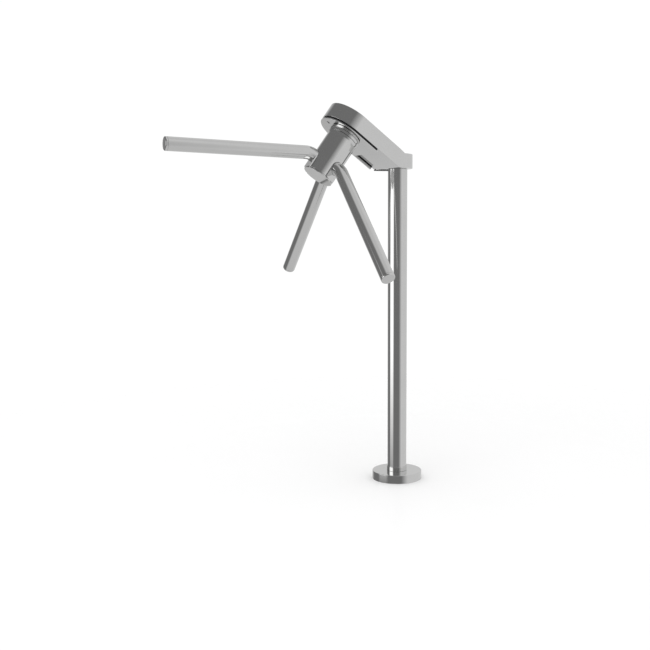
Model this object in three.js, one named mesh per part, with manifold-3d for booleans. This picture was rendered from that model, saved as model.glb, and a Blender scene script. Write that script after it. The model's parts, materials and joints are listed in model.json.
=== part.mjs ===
// Visitor counter turnstile: a rotor with three bent arms on a slanted head, on one floor post.
// Millimetres, +Z up. The origin is the centre of the base on the floor, and the head leans
// towards -X. A second frame, the head frame, sits on the rotor axis where the three arm lines
// meet: its X runs up the slope towards the nose, its Y towards -Y of the part, and its Z is the
// outward normal of the head's top, which is also the rotor axis.

import * as THREE from "three";
import { mergeVertices } from "three/addons/utils/BufferGeometryUtils.js";
import Module from "manifold-3d";

const wasm = await Module();
wasm.setup();

// ---- driving dimensions ----
const POST_RADIUS = 25.4;
const BASE_RADIUS = 66;
const BASE_HEIGHT = 22;
const APEX_REACH = 185.4;
const APEX_HEIGHT = 856.6;
const AXIS_TILT = THREE.MathUtils.degToRad(54);
const ARM_ANGLE = THREE.MathUtils.degToRad(55.2);
const ARM_RADIUS = 16.85;
const ARM_REACH = 426;
const ARM_COUNT = 3;
const HUB_RADIUS = 39.6;
const HEAD_HALF_WIDTH = 68;
const HEAD_TOP = 103.5;
const HEAD_BOTTOM = 63;
const BLOCK_TOP = 860;
const BLOCK_BOTTOM = 824;

// ---- sizes that follow from them ----
const GAP = 0.3;
const WALL = 4;
const NOSE_OFFSET = 3;
const REAR_CENTRE = -33.4;
const FACE_TOP = HEAD_BOTTOM - 5.2;
const FACE_BOTTOM = FACE_TOP - 2.3;
const FACE_END = -73;
const STUB_LEVEL = -35;
const HUB_END = -68;
const POST_WALL = 2.5;
const ARM_WALL = 2.25;
const FLANGE_RADIUS = HUB_RADIUS + 1.6;
const BEARING_RADIUS = 21;
const SHAFT_RADIUS = 12.2;
const CHASSIS_LEVEL = HEAD_BOTTOM + 4.5;
const ROUND_STEPS = 30;
const FINE_STEPS = 40;
const SMALL_STEPS = 16;
const BEYOND = 400;

// ---- materials ----
const polished = { color: 0xc9cbcd, roughness: 0.12, metalness: 1 };
const zinc = { color: 0x9ea3a6, roughness: 0.5, metalness: 0.9 };
const hardSteel = { color: 0x6f7376, roughness: 0.35, metalness: 1 };
const rubber = { color: 0x0c0c0d, roughness: 0.85, metalness: 0 };
const plastic = { color: 0x1d1f22, roughness: 0.6, metalness: 0 };
const boardGreen = { color: 0x1d4f35, roughness: 0.55, metalness: 0 };

const turnstile = new THREE.Group();
const head = new THREE.Group();
head.matrix.makeBasis(
  new THREE.Vector3(-Math.sin(AXIS_TILT), 0, Math.cos(AXIS_TILT)),
  new THREE.Vector3(0, -1, 0),
  new THREE.Vector3(Math.cos(AXIS_TILT), 0, Math.sin(AXIS_TILT)),
);
head.matrix.setPosition(-APEX_REACH, 0, APEX_HEIGHT);
head.matrix.decompose(head.position, head.quaternion, head.scale);
turnstile.add(head);

// ---- helpers ----
function addPart(name, geometry, look, parent = turnstile) {
  const mesh = new THREE.Mesh(geometry, new THREE.MeshStandardMaterial(look));
  mesh.name = name;
  parent.add(mesh);
  return mesh;
}

function toSolid(geometry) {
  const bare = geometry.clone();
  bare.deleteAttribute("normal");
  bare.deleteAttribute("uv");
  const merged = mergeVertices(bare, 1e-4);
  const vertProperties = Float32Array.from(merged.attributes.position.array);
  const triVerts = Uint32Array.from(merged.index.array);
  return new wasm.Manifold(new wasm.Mesh({ numProp: 3, vertProperties, triVerts }));
}

function toGeometry(solid) {
  const mesh = solid.getMesh();
  const geometry = new THREE.BufferGeometry();
  geometry.setAttribute("position", new THREE.BufferAttribute(mesh.vertProperties, 3));
  geometry.setIndex(new THREE.BufferAttribute(mesh.triVerts, 1));
  return geometry;
}

function cut(geometry, ...tools) {
  let solid = toSolid(geometry);
  for (const tool of tools) {
    solid = solid.subtract(toSolid(tool));
  }
  return toGeometry(solid);
}

function join(geometry, ...others) {
  let solid = toSolid(geometry);
  for (const other of others) {
    solid = solid.add(toSolid(other));
  }
  return toGeometry(solid);
}

function keepInside(geometry, ...masks) {
  let solid = toSolid(geometry);
  for (const mask of masks) {
    solid = solid.intersect(toSolid(mask));
  }
  return toGeometry(solid);
}

// A turned piece about +Z from [radius, height] points, going up the outside.
function turned(points, steps = ROUND_STEPS) {
  const profile = points.map(([radius, height]) => new THREE.Vector2(radius, height));
  return new THREE.LatheGeometry(profile, steps).rotateX(Math.PI / 2);
}

function disc(radius, low, high, steps = ROUND_STEPS) {
  return turned([[0, low], [radius, low], [radius, high], [0, high]], steps);
}

function ring(outer, inner, low, high, steps = ROUND_STEPS) {
  return turned([[inner, low], [outer, low], [outer, high], [inner, high], [inner, low]], steps);
}

function prism(shape, low, high, curveSegments = 12) {
  const options = { depth: high - low, bevelEnabled: false, curveSegments };
  return new THREE.ExtrudeGeometry(shape, options).translate(0, 0, low);
}

function box(x, y, z) {
  const geometry = new THREE.BoxGeometry(x[1] - x[0], y[1] - y[0], z[1] - z[0]);
  return geometry.translate((x[0] + x[1]) / 2, (y[0] + y[1]) / 2, (z[0] + z[1]) / 2);
}

// A straight-sided outline with one round end at +X, open-ended far away at the other.
function roundNosed(halfWidth, centre, tail) {
  const shape = new THREE.Shape();
  shape.moveTo(tail, -halfWidth);
  shape.lineTo(centre, -halfWidth);
  shape.absarc(centre, 0, halfWidth, -Math.PI / 2, Math.PI / 2, false);
  shape.lineTo(tail, halfWidth);
  shape.closePath();
  return shape;
}

// ---- base ----
const FLANGE_THICKNESS = 8;
const FLANGE_PLATE_RADIUS = 58;
const ANCHOR_CIRCLE = 44;
const ANCHOR_COUNT = 4;
const ANCHOR_SHANK = 4;
const ANCHOR_HEAD_RADIUS = 6.5;
const ANCHOR_HEAD_TOP = 7;
const WASHER_RADIUS = 8;
const WASHER_THICKNESS = 1.6;
const COVER_WALL = 2;
const COVER_TOP = 3;
const COLLAR_WALL = 1.3;
const COLLAR_HEIGHT = 11.8;

function anchorPosition(index) {
  const angle = Math.PI / 4 + (index * 2 * Math.PI) / ANCHOR_COUNT;
  return new THREE.Vector3(ANCHOR_CIRCLE * Math.cos(angle), ANCHOR_CIRCLE * Math.sin(angle), 0);
}

function buildFloorFlange() {
  const holes = [];
  for (let index = 0; index < ANCHOR_COUNT; index += 1) {
    const place = anchorPosition(index);
    const hole = disc(ANCHOR_SHANK + 0.5, -1, FLANGE_THICKNESS + 1, SMALL_STEPS);
    holes.push(hole.translate(place.x, place.y, 0));
  }
  addPart("floor_flange", cut(disc(FLANGE_PLATE_RADIUS, 0, FLANGE_THICKNESS), ...holes), zinc);

  const shankEnd = 0.5;
  const washer = FLANGE_THICKNESS + GAP;
  const anchor = [
    [0, shankEnd], [ANCHOR_SHANK, shankEnd], [ANCHOR_SHANK, washer], [WASHER_RADIUS, washer],
    [WASHER_RADIUS, washer + WASHER_THICKNESS], [ANCHOR_HEAD_RADIUS, washer + WASHER_THICKNESS],
    [ANCHOR_HEAD_RADIUS, washer + ANCHOR_HEAD_TOP], [0, washer + ANCHOR_HEAD_TOP],
  ];
  for (let index = 0; index < ANCHOR_COUNT; index += 1) {
    const bolt = addPart(`anchor_bolt_${index + 1}`, turned(anchor, 12), zinc);
    bolt.position.copy(anchorPosition(index));
  }
}

function buildBaseCover() {
  const bore = POST_RADIUS + GAP;
  const lip = BASE_RADIUS - COVER_WALL;
  const chamfer = 1.5;
  const cover = [
    [lip, 0], [BASE_RADIUS, 0], [BASE_RADIUS, BASE_HEIGHT - chamfer],
    [BASE_RADIUS - chamfer, BASE_HEIGHT], [bore, BASE_HEIGHT], [bore, BASE_HEIGHT - COVER_TOP],
    [lip, BASE_HEIGHT - COVER_TOP], [lip, 0],
  ];
  addPart("base_cover", turned(cover, 44), polished);

  const seat = BASE_HEIGHT + GAP;
  const radius = bore + COLLAR_WALL;
  const top = seat + COLLAR_HEIGHT;
  const edge = 0.6;
  const collar = [
    [bore, seat], [radius, seat], [radius, top - edge], [radius - edge, top], [bore, top], [bore, seat],
  ];
  addPart("foot_collar", turned(collar), polished);
}

// ---- post ----
const SPIGOT_RADIUS = POST_RADIUS - POST_WALL - GAP;
const SPIGOT_BORE = 15;
const SPIGOT_LOW = 760;
const SPIGOT_FLANGE_RADIUS = 29;
const SPIGOT_FLANGE = 6;
const GRUB_LEVELS = [780, 800];
const GRUB_RADIUS = 4;
const GRUB_SPAN = [16.5, 24.8];
const GRUB_SOCKET = [2, 2.8];

function grubHole(level, from) {
  const hole = disc(GRUB_RADIUS + GAP, from, POST_RADIUS + 5, SMALL_STEPS);
  return hole.rotateY(Math.PI / 2).translate(0, 0, level);
}

function buildPost() {
  const inner = POST_RADIUS - POST_WALL;
  const tube = ring(POST_RADIUS, inner, FLANGE_THICKNESS + GAP, BLOCK_BOTTOM - GAP);
  addPart("post", cut(tube, ...GRUB_LEVELS.map((level) => grubHole(level, inner - 5))), polished);

  const seat = BLOCK_BOTTOM + WALL + GAP;
  const top = seat + SPIGOT_FLANGE;
  const spigot = turned([
    [SPIGOT_BORE, SPIGOT_LOW], [SPIGOT_RADIUS, SPIGOT_LOW], [SPIGOT_RADIUS, seat],
    [SPIGOT_FLANGE_RADIUS, seat], [SPIGOT_FLANGE_RADIUS, top], [SPIGOT_BORE, top],
    [SPIGOT_BORE, SPIGOT_LOW],
  ]);
  const sockets = GRUB_LEVELS.map((level) => grubHole(level, SPIGOT_BORE - 5));
  addPart("head_spigot", cut(spigot, ...sockets), zinc);

  const [start, end] = GRUB_SPAN;
  const [socketRadius, socketDepth] = GRUB_SOCKET;
  const outline = [
    [0, start], [GRUB_RADIUS, start], [GRUB_RADIUS, end], [socketRadius, end],
    [socketRadius, end - socketDepth], [0, end - socketDepth],
  ];
  GRUB_LEVELS.forEach((level, index) => {
    const grub = addPart(`post_grub_screw_${index + 1}`, turned(outline, 12), hardSteel);
    grub.rotation.y = Math.PI / 2;
    grub.position.z = level;
  });
}

// ---- head housing ----
// Slope position at which a plane of the slanted part, at a given level, reaches a world height.
function slopeAtHeight(level, height) {
  return (height - APEX_HEIGHT - level * Math.sin(AXIS_TILT)) / Math.cos(AXIS_TILT);
}

// World [x, z] of a point given by its slope position and level in the head frame.
function sidePoint(slope, level) {
  const point = new THREE.Vector3(slope, 0, level).applyMatrix4(head.matrix);
  return new THREE.Vector2(point.x, point.z);
}

// The head's side view, extruded across it and trimmed to its round nose and its round rear.
function headSolid(outline, halfWidth) {
  const shape = new THREE.Shape(outline);
  const slab = prism(shape, -halfWidth, halfWidth).rotateX(Math.PI / 2);
  const nose = prism(roundNosed(halfWidth, NOSE_OFFSET, -BEYOND), -BEYOND, BEYOND, 20);
  const rear = prism(roundNosed(halfWidth, REAR_CENTRE, -2 * BEYOND), BEYOND, 3 * BEYOND, 20);
  return keepInside(slab, nose.applyMatrix4(head.matrix), rear);
}

function buildShell() {
  const outer = [
    sidePoint(BEYOND, HEAD_TOP),
    sidePoint(slopeAtHeight(HEAD_TOP, BLOCK_TOP), HEAD_TOP),
    new THREE.Vector2(BEYOND, BLOCK_TOP),
    new THREE.Vector2(BEYOND, BLOCK_BOTTOM),
    sidePoint(slopeAtHeight(HEAD_BOTTOM, BLOCK_BOTTOM), HEAD_BOTTOM),
    sidePoint(BEYOND, HEAD_BOTTOM),
  ];
  const roof = HEAD_TOP - WALL;
  const floor = HEAD_BOTTOM + WALL;
  const mouth = FACE_END + 3;
  const inner = [
    sidePoint(BEYOND, roof),
    sidePoint(slopeAtHeight(roof, BLOCK_TOP - WALL), roof),
    new THREE.Vector2(BEYOND, BLOCK_TOP - WALL),
    new THREE.Vector2(BEYOND, BLOCK_BOTTOM + WALL),
    sidePoint(slopeAtHeight(floor, BLOCK_BOTTOM + WALL), floor),
    sidePoint(mouth, floor),
    sidePoint(mouth, FACE_TOP),
    sidePoint(BEYOND, FACE_TOP),
  ];
  const postHole = disc(SPIGOT_RADIUS + GAP, BLOCK_BOTTOM - 1, BLOCK_BOTTOM + WALL + 1);
  const cavity = headSolid(inner, HEAD_HALF_WIDTH - WALL);
  const shell = cut(headSolid(outer, HEAD_HALF_WIDTH), cavity, postHole);
  addPart("head_shell", shell, polished);
}

const FACE_SCREW_AT = 55;
const SCREW_RADIUS = 2.5;
const SCREW_HOLE = SCREW_RADIUS + GAP;
const SCREW_HEAD_RADIUS = 4.4;
const SOCKET_RADIUS = 1.6;
const BOSS_RADIUS = 5;
const SLEEVE_RADIUS = 32;

function buildFace() {
  const outline = roundNosed(HEAD_HALF_WIDTH, NOSE_OFFSET, FACE_END);
  const face = prism(outline, FACE_BOTTOM, FACE_TOP, 20);
  const centreHole = disc(SLEEVE_RADIUS + GAP, FACE_BOTTOM - 1, FACE_TOP + 1);
  const sink = SCREW_HEAD_RADIUS + 0.5 - SCREW_HOLE;
  const screwHole = turned([
    [0, FACE_BOTTOM - 1], [SCREW_HOLE + sink, FACE_BOTTOM - 1], [SCREW_HOLE + sink, FACE_BOTTOM],
    [SCREW_HOLE, FACE_BOTTOM + sink], [SCREW_HOLE, FACE_TOP + 1], [0, FACE_TOP + 1],
  ], SMALL_STEPS);
  const holes = [centreHole, screwHole.translate(FACE_SCREW_AT, 0, 0)];
  addPart("face_plate", cut(face, ...holes), polished, head);

  const headLow = FACE_BOTTOM + 0.2;
  const socketDepth = 1.2;
  const screwEnd = CHASSIS_LEVEL - 1;
  const screw = [
    [0, headLow + socketDepth], [SOCKET_RADIUS, headLow + socketDepth], [SOCKET_RADIUS, headLow],
    [SCREW_HEAD_RADIUS, headLow], [SCREW_RADIUS, headLow + SCREW_HEAD_RADIUS - SCREW_RADIUS],
    [SCREW_RADIUS, screwEnd], [0, screwEnd],
  ];
  addPart("face_screw", turned(screw, SMALL_STEPS).translate(FACE_SCREW_AT, 0, 0), hardSteel, head);

  const boss = ring(BOSS_RADIUS, SCREW_HOLE, FACE_TOP + GAP, CHASSIS_LEVEL - GAP, SMALL_STEPS);
  addPart("face_boss", boss.translate(FACE_SCREW_AT, 0, 0), zinc, head);

  const sealWidth = HEAD_HALF_WIDTH - 2.5;
  const sealOuter = roundNosed(sealWidth, NOSE_OFFSET, FACE_END + 4);
  const sealInner = roundNosed(sealWidth - 4, NOSE_OFFSET, FACE_END + 8);
  const seal = prism(sealOuter, FACE_TOP + GAP, HEAD_BOTTOM - GAP);
  addPart("face_seal", cut(seal, prism(sealInner, FACE_TOP - 1, HEAD_BOTTOM + 1)), rubber, head);
}

// A steel strip and its black backing along the far lower edge, from the face plate to the heel,
// and a black edging that goes on round the heel's underside.
function buildFarEdge() {
  const railWidth = 5;
  const railTop = FACE_BOTTOM + 5;
  const railLow = slopeAtHeight(FACE_BOTTOM, BLOCK_BOTTOM + 1);
  const along = [railLow, FACE_END - GAP];
  const side = -HEAD_HALF_WIDTH;
  const rail = box(along, [side, side + railWidth], [FACE_BOTTOM, railTop]);
  addPart("side_rail", rail, polished, head);
  const across = [side + 0.5, side + railWidth - 0.5];
  const backing = box(along, across, [railTop + GAP, HEAD_BOTTOM - GAP]);
  addPart("rail_seal", backing, rubber, head);

  const trimTop = BLOCK_BOTTOM - GAP;
  const trimLow = trimTop - 2;
  const trimRadius = HEAD_HALF_WIDTH - 0.8;
  const outline = roundNosed(trimRadius, REAR_CENTRE, REAR_CENTRE - 2);
  const hollow = roundNosed(trimRadius - 4, REAR_CENTRE, REAR_CENTRE - 10);
  const farSide = [POST_RADIUS, HEAD_HALF_WIDTH];
  const farHalf = box([REAR_CENTRE - 5, HEAD_HALF_WIDTH], farSide, [trimLow, trimTop]);
  const trim = cut(prism(outline, trimLow, trimTop), prism(hollow, trimLow - 1, trimTop + 1));
  addPart("heel_trim", keepInside(trim, farHalf), rubber);
}

// ---- fixed inside parts ----
const SPACER_PLACES = [[40, 38], [40, -38], [-58, 46], [-58, -46]];
const SPACER_RADIUS = 4.5;
const PIN_RADIUS = 3;
const PIN_TOP = 97;
const LEVER_PIN = [-12, 50];
const PAWL_PIN = [-12, -48];
const CHASSIS_HALF_WIDTH = 61;
const CHASSIS_THICKNESS = 4;
const CHASSIS_TOP = CHASSIS_LEVEL + CHASSIS_THICKNESS;

function buildChassis() {
  const outline = roundNosed(CHASSIS_HALF_WIDTH, NOSE_OFFSET, FACE_END + 5);
  const plate = prism(outline, CHASSIS_LEVEL, CHASSIS_TOP);
  const holes = [disc(SLEEVE_RADIUS + GAP, CHASSIS_LEVEL - 1, CHASSIS_TOP + 1)];
  for (const [x, y] of [LEVER_PIN, PAWL_PIN]) {
    const hole = disc(PIN_RADIUS + GAP, CHASSIS_LEVEL - 1, CHASSIS_TOP + 1, SMALL_STEPS);
    holes.push(hole.translate(x, y, 0));
  }
  const screwHole = disc(SCREW_HOLE, CHASSIS_LEVEL - 1, CHASSIS_TOP + 1, SMALL_STEPS);
  holes.push(screwHole.translate(FACE_SCREW_AT, 0, 0));
  addPart("chassis_plate", cut(plate, ...holes), zinc, head);

  SPACER_PLACES.forEach(([x, y], index) => {
    const post = disc(SPACER_RADIUS, CHASSIS_TOP + GAP, HEAD_TOP - WALL - GAP, 12);
    addPart(`chassis_spacer_${index + 1}`, post.translate(x, y, 0), zinc, head);
  });
  const names = ["lever_pin", "pawl_pin"];
  [LEVER_PIN, PAWL_PIN].forEach(([x, y], index) => {
    const pin = disc(PIN_RADIUS, CHASSIS_LEVEL + 1, PIN_TOP, SMALL_STEPS).translate(x, y, 0);
    addPart(names[index], pin, hardSteel, head);
  });
}

const HOUSING_LOW = 48.5;
const HOUSING_FLOOR = 1.2;
const HOUSING_TOP = 76;
const BEARING_LEVELS = [50, 63.3];
const BEARING_HEIGHT = 12;
const HUB_TOP = 47;
const SEAL_RADIUS = HUB_RADIUS - 2;

function buildBearings() {
  const bore = BEARING_RADIUS + GAP;
  const mouth = BEARING_RADIUS - 5;
  const seat = FACE_BOTTOM - GAP;
  const housing = [
    [mouth, HOUSING_LOW], [HUB_RADIUS, HOUSING_LOW], [FLANGE_RADIUS, seat - 0.6], [FLANGE_RADIUS, seat],
    [SLEEVE_RADIUS, seat], [SLEEVE_RADIUS, HOUSING_TOP], [bore, HOUSING_TOP],
    [bore, HOUSING_LOW + HOUSING_FLOOR], [mouth, HOUSING_LOW + HOUSING_FLOOR], [mouth, HOUSING_LOW],
  ];
  addPart("bearing_housing", turned(housing, FINE_STEPS), polished, head);
  const seal = ring(SEAL_RADIUS, SEAL_RADIUS - 4, HUB_TOP + GAP, HOUSING_LOW - GAP);
  addPart("rotor_seal", seal, rubber, head);
  BEARING_LEVELS.forEach((level, index) => {
    const race = ring(BEARING_RADIUS, SHAFT_RADIUS + GAP, level, level + BEARING_HEIGHT);
    addPart(`shaft_bearing_${index + 1}`, race, hardSteel, head);
  });
}

const BOARD = { along: [-128, -84], across: [-30, 30], levels: [67.3, 68.9] };
const MODULE = { along: [-120, -92], across: [-14, 14], levels: [69.2, 80] };
const SENSOR_ACROSS = [-7, 7];
const SENSOR_TIP = -28.5;

// A forked light sensor whose two arms reach above and below the counting vane.
function sensorFork() {
  const foot = box([-62, -54], SENSOR_ACROSS, [CHASSIS_TOP + GAP, 89]);
  const lower = box([-62, SENSOR_TIP], SENSOR_ACROSS, [88.5, 91.5]);
  const web = box([-44, -38], SENSOR_ACROSS, [91, 96]);
  const upper = box([-44, SENSOR_TIP], SENSOR_ACROSS, [95.5, 97.5]);
  return join(lower, foot, upper, web);
}

function buildCounter() {
  addPart("counter_board", box(BOARD.along, BOARD.across, BOARD.levels), boardGreen, head);
  addPart("counter_module", box(MODULE.along, MODULE.across, MODULE.levels), plastic, head);
  addPart("counter_sensor", sensorFork(), plastic, head);
}

// ---- rotor ----
const CARRIER_TOP = 33.7;
const CARRIER_RADIUS = 19;
const CARRIER_LOW = -56;
const CARRIER_HEAD = { radius: 30, low: 27 };
const SPIGOT_END = 36.5;
const WEB_LOW = 34;
const HUB_WALL = 5;
const SHAFT_LOW = 10;
const SHAFT_TOP = 97.5;
const BOLT_RADIUS = 5;
const BOLT_HOLE = 5.4;
const BOLT_TIP = 24;
const BOLT_HEAD = { radius: 8.5, low: -62.5, high: -56.3 };

function armHeading(index) {
  return (index * 2 * Math.PI) / ARM_COUNT;
}

function buildShaft() {
  const shaft = disc(SHAFT_RADIUS, SHAFT_LOW, SHAFT_TOP, 20);
  const thread = disc(BOLT_RADIUS + GAP, SHAFT_LOW - 1, BOLT_TIP + 4, SMALL_STEPS);
  addPart("rotor_shaft", cut(shaft, thread), hardSteel, head);

  const bolt = turned([
    [0, BOLT_HEAD.low], [BOLT_HEAD.radius, BOLT_HEAD.low], [BOLT_HEAD.radius, BOLT_HEAD.high],
    [BOLT_RADIUS, BOLT_HEAD.high], [BOLT_RADIUS, BOLT_TIP], [0, BOLT_TIP],
  ], SMALL_STEPS);
  addPart("rotor_bolt", bolt, zinc, head);
}

function buildCarrier() {
  const bore = SHAFT_RADIUS + GAP;
  const step = SHAFT_LOW - GAP;
  const core = turned([
    [BOLT_HOLE, CARRIER_LOW], [CARRIER_RADIUS, CARRIER_LOW], [CARRIER_RADIUS, CARRIER_HEAD.low],
    [CARRIER_HEAD.radius, CARRIER_HEAD.low], [CARRIER_HEAD.radius, CARRIER_TOP], [bore, CARRIER_TOP],
    [bore, step], [BOLT_HOLE, step], [BOLT_HOLE, CARRIER_LOW],
  ]);
  const spigots = [];
  for (let index = 0; index < ARM_COUNT; index += 1) {
    const radius = ARM_RADIUS - ARM_WALL - 0.5;
    const spigot = disc(radius, CARRIER_RADIUS / 2, SPIGOT_END, SMALL_STEPS).rotateY(Math.PI / 2);
    spigots.push(spigot.translate(0, 0, STUB_LEVEL).rotateZ(armHeading(index)));
  }
  const hole = disc(BOLT_HOLE, CARRIER_LOW - 1, SHAFT_LOW, SMALL_STEPS);
  addPart("arm_carrier", cut(join(core, ...spigots), hole), zinc, head);
}

const SLOT_HALF_WIDTH = ARM_RADIUS + 0.65;

const SLOT_REACH = [25, 50];

// A U-shaped slot through the hub wall, open towards the hub's lower end.
function hubSlot(index) {
  const roundTop = disc(SLOT_HALF_WIDTH, ...SLOT_REACH, 24).rotateY(Math.PI / 2);
  const across = [-SLOT_HALF_WIDTH, SLOT_HALF_WIDTH];
  const open = box(SLOT_REACH, across, [HUB_END - 1, STUB_LEVEL]);
  return join(roundTop.translate(0, 0, STUB_LEVEL), open).rotateZ(armHeading(index));
}

function buildHub() {
  const inner = HUB_RADIUS - HUB_WALL;
  const shaftBore = SHAFT_RADIUS + GAP;
  const body = turned([
    [inner, HUB_END], [HUB_RADIUS, HUB_END], [HUB_RADIUS, HUB_TOP - 7], [FLANGE_RADIUS, HUB_TOP - 0.6],
    [FLANGE_RADIUS, HUB_TOP], [shaftBore, HUB_TOP], [shaftBore, WEB_LOW], [inner, WEB_LOW],
    [inner, HUB_END],
  ], FINE_STEPS);
  const slots = [];
  for (let index = 0; index < ARM_COUNT; index += 1) {
    slots.push(hubSlot(index));
  }
  addPart("rotor_hub", cut(body, ...slots), polished, head);

}

// A block that fills a hub slot below the arm.
function buildSaddles() {
  const halfWidth = SLOT_HALF_WIDTH - GAP;
  const from = CARRIER_RADIUS + 1;
  for (let index = 0; index < ARM_COUNT; index += 1) {
    const block = box([from, HUB_RADIUS - 1], [-halfWidth, halfWidth], [HUB_END, STUB_LEVEL]);
    const seat = disc(ARM_RADIUS + GAP, from - 1, HUB_RADIUS, 24).rotateY(Math.PI / 2);
    const saddle = cut(block, seat.translate(0, 0, STUB_LEVEL));
    addPart(`arm_saddle_${index + 1}`, saddle.rotateZ(armHeading(index)), polished, head);
  }
}

const PLATE_THICKNESS = 3;
const PLATE_EDGE = 0.6;
const NOTCH = { depth: 2.5, halfWidth: 3 };

function buildEndPlate() {
  const top = HUB_END - GAP;
  const low = top - PLATE_THICKNESS;
  const notches = [];
  for (let index = 0; index < ARM_COUNT; index += 1) {
    const across = [-NOTCH.halfWidth, NOTCH.halfWidth];
    const notch = box([HUB_RADIUS - NOTCH.depth, HUB_RADIUS + 1], across, [low - 1, top + 1]);
    notches.push(notch.rotateZ(armHeading(index) + Math.PI));
  }
  const plate = turned([
    [0, low], [HUB_RADIUS - PLATE_EDGE, low], [HUB_RADIUS, low + PLATE_EDGE], [HUB_RADIUS, top], [0, top],
  ], FINE_STEPS);
  addPart("hub_end_plate", cut(plate, ...notches), polished, head);
}

// ---- arms ----
const BEND_RADIUS = 40;
const CAP_LENGTH = 6;
const CAP_PLUG = 12;
const CAP_EDGE = 2.5;
const STUB_START = 20;
const BEND_FROM = 0.1;
const BEND_TO = 0.9;

// The centre line of an arm in its own X-Z plane: a radial stub, a bend, then the long straight.
// Its parameter gives the bend most of the steps.
class ArmLine extends THREE.Curve {
  constructor() {
    super();
    this.turn = Math.PI / 2 - ARM_ANGLE;
    const corner = -STUB_LEVEL / Math.cos(ARM_ANGLE);
    const tangent = BEND_RADIUS * Math.tan(this.turn / 2);
    this.bendX = corner * Math.sin(ARM_ANGLE) - tangent;
    this.straight = ARM_REACH - CAP_LENGTH - corner - tangent;
  }

  bendPoint(angle) {
    const x = this.bendX + BEND_RADIUS * Math.sin(angle);
    const z = STUB_LEVEL - BEND_RADIUS * (1 - Math.cos(angle));
    return new THREE.Vector3(x, 0, z);
  }

  getUtoTmapping(u) {
    return u;
  }

  getPoint(t) {
    if (t < BEND_FROM) {
      const x = STUB_START + (this.bendX - STUB_START) * (t / BEND_FROM);
      return new THREE.Vector3(x, 0, STUB_LEVEL);
    }
    if (t < BEND_TO) {
      return this.bendPoint((this.turn * (t - BEND_FROM)) / (BEND_TO - BEND_FROM));
    }
    const along = (this.straight * (t - BEND_TO)) / (1 - BEND_TO);
    const end = this.bendPoint(this.turn);
    return end.add(new THREE.Vector3(Math.cos(this.turn) * along, 0, -Math.sin(this.turn) * along));
  }
}

function armTube() {
  const section = new THREE.Shape();
  section.absarc(0, 0, ARM_RADIUS, 0, 2 * Math.PI, false);
  const hollow = new THREE.Path();
  hollow.absarc(0, 0, ARM_RADIUS - ARM_WALL, 0, 2 * Math.PI, true);
  section.holes.push(hollow);
  const options = { steps: 8, extrudePath: new ArmLine(), curveSegments: 10 };
  return new THREE.ExtrudeGeometry(section, options);
}

function armCap() {
  const inner = ARM_RADIUS - ARM_WALL - GAP;
  const profile = [[0, -CAP_PLUG], [inner, -CAP_PLUG], [inner, GAP], [ARM_RADIUS, GAP]];
  const edgeSteps = 3;
  for (let step = 0; step <= edgeSteps; step += 1) {
    const angle = (step * Math.PI) / (2 * edgeSteps);
    const radius = ARM_RADIUS - CAP_EDGE + CAP_EDGE * Math.cos(angle);
    profile.push([radius, CAP_LENGTH - CAP_EDGE + CAP_EDGE * Math.sin(angle)]);
  }
  profile.push([0, CAP_LENGTH]);
  return turned(profile, 20);
}

function buildArms() {
  for (let index = 0; index < ARM_COUNT; index += 1) {
    const tube = armTube().rotateZ(armHeading(index));
    addPart(`arm_${index + 1}`, tube, polished, head);

    const cap = armCap().translate(0, 0, ARM_REACH - CAP_LENGTH);
    cap.rotateY(Math.PI - ARM_ANGLE).rotateZ(armHeading(index));
    addPart(`arm_cap_${index + 1}`, cap, polished, head);
  }
}

// ---- index, anti-return and counting parts ----
const CAM_LOBES = 3;
const CAM_LEVEL = [85, 92];
const CAM_TIP = 27;
const CAM_LIFT = 6;
const CAM_STEPS = 36;
const RATCHET_TEETH = 12;
const RATCHET_TIP = 29;
const RATCHET_ROOT = 25.5;
const RATCHET_LEVEL = [77, 80.5];
const VANE_RADIUS = 34;
const VANE_LEVEL = [92.8, 94.3];
const VANE_WINDOW = { from: 28, halfWidth: 3 };

// A point of an outline round the rotor axis.
function aroundAxis(radius, angle) {
  return new THREE.Vector2(radius * Math.cos(angle), radius * Math.sin(angle));
}

function boredPrism(outline, levels) {
  const body = prism(new THREE.Shape(outline), levels[0], levels[1]);
  return cut(body, disc(SHAFT_RADIUS + GAP, levels[0] - 1, levels[1] + 1, 20));
}

function buildIndexWheels() {
  const cam = [];
  for (let step = 0; step < CAM_STEPS; step += 1) {
    const angle = (step * 2 * Math.PI) / CAM_STEPS;
    cam.push(aroundAxis(CAM_TIP - (CAM_LIFT / 2) * (1 - Math.cos(CAM_LOBES * angle)), angle));
  }
  addPart("index_cam", boredPrism(cam, CAM_LEVEL), hardSteel, head);

  const ratchet = [];
  for (let tooth = 0; tooth < RATCHET_TEETH; tooth += 1) {
    const angle = (tooth * 2 * Math.PI) / RATCHET_TEETH;
    ratchet.push(aroundAxis(RATCHET_ROOT, angle), aroundAxis(RATCHET_TIP, angle));
  }
  addPart("ratchet_wheel", boredPrism(ratchet, RATCHET_LEVEL), hardSteel, head);
}

// A thin disc with one window for each arm, which the sensor counts.
function buildVane() {
  const vane = ring(VANE_RADIUS, SHAFT_RADIUS + GAP, ...VANE_LEVEL, 24);
  const along = [VANE_WINDOW.from, VANE_RADIUS + 2];
  const across = [-VANE_WINDOW.halfWidth, VANE_WINDOW.halfWidth];
  const windows = [];
  for (let index = 0; index < ARM_COUNT; index += 1) {
    const window = box(along, across, [VANE_LEVEL[0] - 1, VANE_LEVEL[1] + 1]);
    windows.push(window.rotateZ(armHeading(index)));
  }
  addPart("counter_vane", cut(vane, ...windows), plastic, head);
}

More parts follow.
